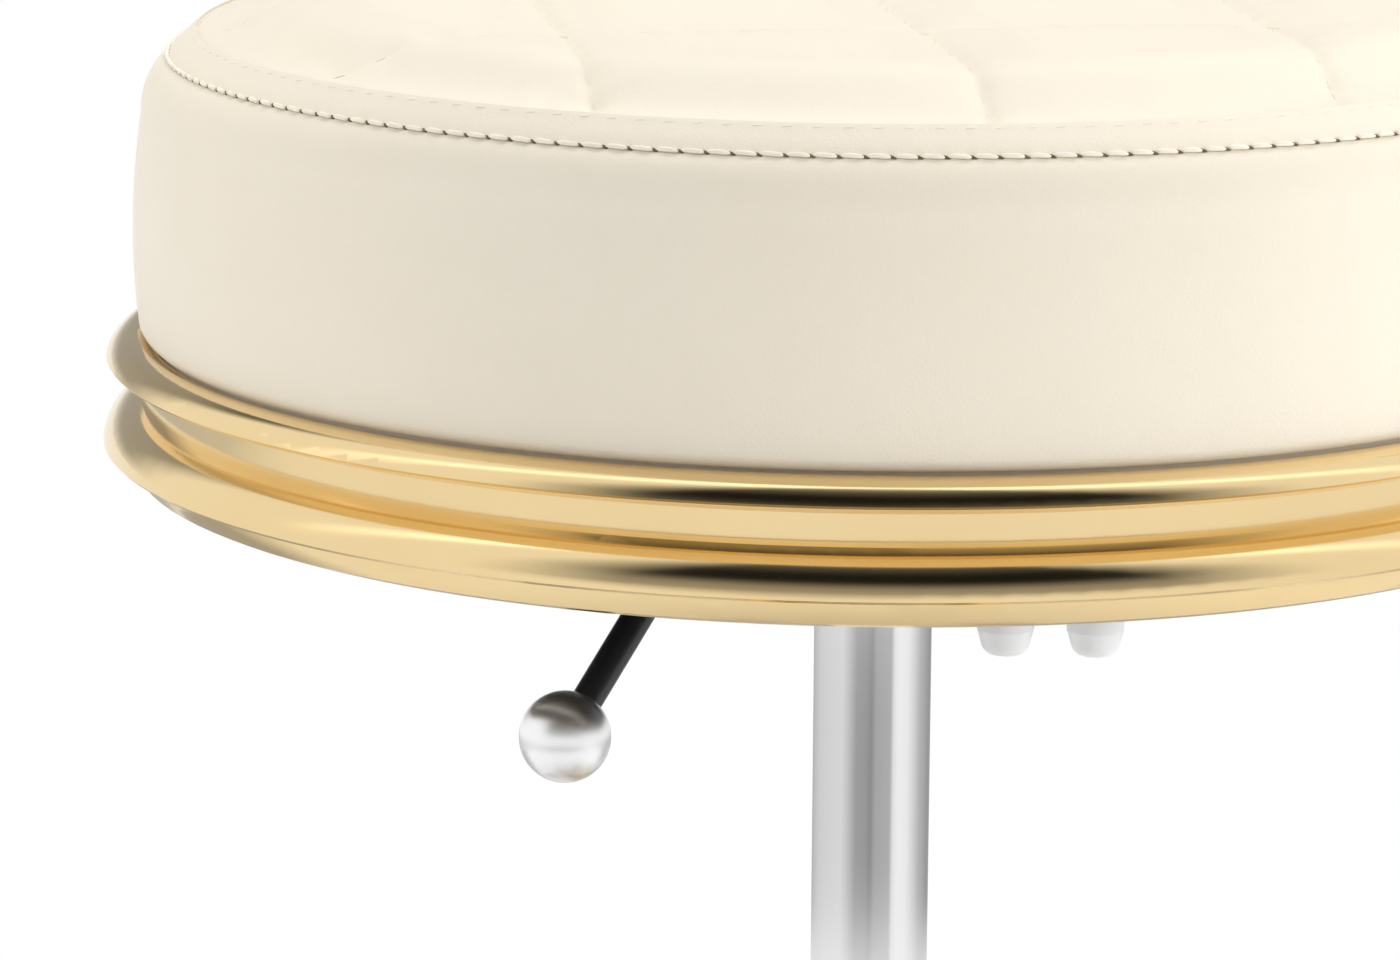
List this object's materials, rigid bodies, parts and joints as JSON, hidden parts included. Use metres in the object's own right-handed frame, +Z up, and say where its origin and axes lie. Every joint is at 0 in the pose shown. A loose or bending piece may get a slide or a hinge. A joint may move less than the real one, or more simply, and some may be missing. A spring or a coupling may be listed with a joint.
{
  "type": "rolling stool",
  "caption": "Round quilted seat in a stepped gold ring on a gas lift, with a bent height lever and a star base on twin-wheel casters.",
  "frame": {"origin": "on the floor, under the axis of the gas lift", "axes": "+Z up along the lift; -Y towards the picture's camera"},
  "size_m": [0.4811, 0.4663, 0.5768],
  "materials": {
    "cover_cream": "cream coated leather, fine grain",
    "foam": "open-cell seat foam",
    "plywood": "plywood stained dark",
    "gold": "polished gold plating",
    "chrome": "polished chrome",
    "black_steel": "satin black coating",
    "steel": "zinc-plated steel",
    "pale_plastic": "pale grey moulded plastic",
    "black_plastic": "black nylon",
    "wheel_plastic": "black nylon tread",
    "rubber": "black rubber"
  },
  "bodies": {
    "base": {"star_base": "gold", "outer_column": "gold", "column_collar": "gold", "guide_bush": "black_plastic", "thrust_bearing": "steel", "rubber_buffer": "rubber", "caster_sleeves": "black_plastic"},
    "swivel": {"piston_rod": "chrome", "piston_head": "steel", "piston_seal": "rubber", "rod_clip": "steel"},
    "seat": {"cover_top": "cover_cream", "cover_border": "cover_cream", "cover_band": "cover_cream", "foam_core": "foam", "seat_board": "plywood", "trim_ring": "gold", "ring_flange": "black_steel", "trim_screws": "steel", "cover_staples": "steel", "tee_nuts": "steel", "mount_plate": "black_steel", "plate_bolts": "steel", "plate_washers": "steel", "taper_socket": "black_steel", "lever_bracket": "black_steel", "pivot_pin": "steel", "accessory_studs": "steel", "stud_caps": "pale_plastic", "lift_tube": "chrome", "valve_body": "steel", "rod_gland": "steel"},
    "lever": {"lever_rod": "black_steel", "lever_knob": "chrome"},
    "button": {"valve_button": "steel"},
    "caster_1": {"caster_hood_1": "black_plastic", "caster_stem_1": "steel", "caster_axle_1": "steel"},
    "wheel_left_1": {"wheel_left_1": "wheel_plastic"},
    "wheel_right_1": {"wheel_right_1": "wheel_plastic"},
    "caster_2": {"caster_hood_2": "black_plastic", "caster_stem_2": "steel", "caster_axle_2": "steel"},
    "wheel_left_2": {"wheel_left_2": "wheel_plastic"},
    "wheel_right_2": {"wheel_right_2": "wheel_plastic"},
    "caster_3": {"caster_hood_3": "black_plastic", "caster_stem_3": "steel", "caster_axle_3": "steel"},
    "wheel_left_3": {"wheel_left_3": "wheel_plastic"},
    "wheel_right_3": {"wheel_right_3": "wheel_plastic"},
    "caster_4": {"caster_hood_4": "black_plastic", "caster_stem_4": "steel", "caster_axle_4": "steel"},
    "wheel_left_4": {"wheel_left_4": "wheel_plastic"},
    "wheel_right_4": {"wheel_right_4": "wheel_plastic"},
    "caster_5": {"caster_hood_5": "black_plastic", "caster_stem_5": "steel", "caster_axle_5": "steel"},
    "wheel_left_5": {"wheel_left_5": "wheel_plastic"},
    "wheel_right_5": {"wheel_right_5": "wheel_plastic"}
  },
  "joints": [
    {"name": "seat_turn", "type": "hinge", "parent": "base", "child": "swivel", "pos_m": [0, 0, 0.06], "axis": [0, 0, 1], "continuous": true},
    {"name": "seat_lift", "type": "slide", "parent": "swivel", "child": "seat", "axis": [0, 0, 1], "range_m": [-0.125, 0]},
    {"name": "lever_tilt", "type": "hinge", "parent": "seat", "child": "lever", "pos_m": [-0.01613, -0.02764, 0.466], "axis": [-0.8637, 0.5039, 0], "range_deg": [0, 5.5], "stiffness_Nm_per_rad": 2, "springref_deg": -2.86},
    {"name": "button_press", "type": "slide", "parent": "seat", "child": "button", "axis": [0, 0, 1], "range_m": [-0.0035, 0]},
    {"name": "caster_turn_1", "type": "hinge", "parent": "base", "child": "caster_1", "pos_m": [0.20162, 0.06551, 0.066], "axis": [0, 0, 1], "continuous": true},
    {"name": "wheel_roll_left_1", "type": "hinge", "parent": "caster_1", "child": "wheel_left_1", "pos_m": [0.21854, 0.07167, 0.025], "axis": [-0.342, 0.9397, 0], "continuous": true},
    {"name": "wheel_roll_right_1", "type": "hinge", "parent": "caster_1", "child": "wheel_right_1", "pos_m": [0.21854, 0.07167, 0.025], "axis": [-0.342, 0.9397, 0], "continuous": true},
    {"name": "caster_turn_2", "type": "hinge", "parent": "base", "child": "caster_2", "pos_m": [0, 0.212, 0.066], "axis": [0, 0, 1], "continuous": true},
    {"name": "wheel_roll_left_2", "type": "hinge", "parent": "caster_2", "child": "wheel_left_2", "pos_m": [-0.01474, 0.22232, 0.025], "axis": [-0.5736, -0.8192, 0], "continuous": true},
    {"name": "wheel_roll_right_2", "type": "hinge", "parent": "caster_2", "child": "wheel_right_2", "pos_m": [-0.01474, 0.22232, 0.025], "axis": [-0.5736, -0.8192, 0], "continuous": true},
    {"name": "caster_turn_3", "type": "hinge", "parent": "base", "child": "caster_3", "pos_m": [-0.20162, 0.06551, 0.066], "axis": [0, 0, 1], "continuous": true},
    {"name": "wheel_roll_left_3", "type": "hinge", "parent": "caster_3", "child": "wheel_left_3", "pos_m": [-0.20319, 0.04758, 0.025], "axis": [0.9962, -0.0872, 0], "continuous": true},
    {"name": "wheel_roll_right_3", "type": "hinge", "parent": "caster_3", "child": "wheel_right_3", "pos_m": [-0.20319, 0.04758, 0.025], "axis": [0.9962, -0.0872, 0], "continuous": true},
    {"name": "caster_turn_4", "type": "hinge", "parent": "base", "child": "caster_4", "pos_m": [-0.12461, -0.17151, 0.066], "axis": [0, 0, 1], "continuous": true},
    {"name": "wheel_roll_left_4", "type": "hinge", "parent": "caster_4", "child": "wheel_left_4", "pos_m": [-0.11845, -0.1546, 0.025], "axis": [-0.9397, 0.342, 0], "continuous": true},
    {"name": "wheel_roll_right_4", "type": "hinge", "parent": "caster_4", "child": "wheel_right_4", "pos_m": [-0.11845, -0.1546, 0.025], "axis": [-0.9397, 0.342, 0], "continuous": true},
    {"name": "caster_turn_5", "type": "hinge", "parent": "base", "child": "caster_5", "pos_m": [0.12461, -0.17151, 0.066], "axis": [0, 0, 1], "continuous": true},
    {"name": "wheel_roll_left_5", "type": "hinge", "parent": "caster_5", "child": "wheel_left_5", "pos_m": [0.1077, -0.17767, 0.025], "axis": [0.342, -0.9397, 0], "continuous": true},
    {"name": "wheel_roll_right_5", "type": "hinge", "parent": "caster_5", "child": "wheel_right_5", "pos_m": [0.1077, -0.17767, 0.025], "axis": [0.342, -0.9397, 0], "continuous": true}
  ],
  "couplings": [
    {"joint": "button_press", "follows": "lever_tilt", "m_per_rad": -0.032}
  ]
}
